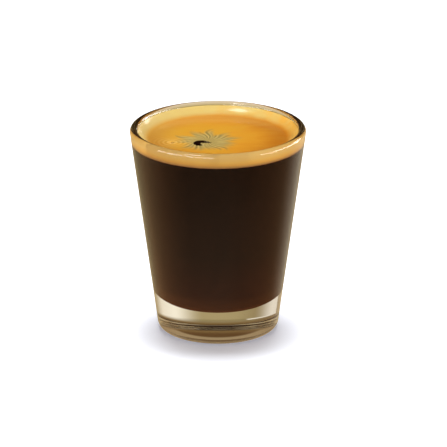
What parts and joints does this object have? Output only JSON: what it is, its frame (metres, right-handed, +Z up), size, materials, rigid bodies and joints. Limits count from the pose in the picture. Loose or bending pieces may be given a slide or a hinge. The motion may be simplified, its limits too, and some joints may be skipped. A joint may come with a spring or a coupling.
{
  "type": "double espresso in a glass",
  "caption": "Double espresso with a thin golden crema in a small clear tapered glass with a thick heavy foot, filled nearly to the rim.",
  "frame": {"origin": "centre of the glass's foot, on the plane that it stands on", "axes": "+Z up along the axis of the glass; -Y towards the viewer of the picture, +X to the viewer's right"},
  "size_m": [0.051, 0.051, 0.061],
  "materials": {
    "glass": "clear pressed soda-lime glass, fire-polished",
    "espresso": "dark brown coffee, still",
    "crema": "golden brown fine coffee foam, moist"
  },
  "bodies": {
    "root": {"glass": "glass", "espresso": "espresso", "crema": "crema"}
  },
  "joints": []
}
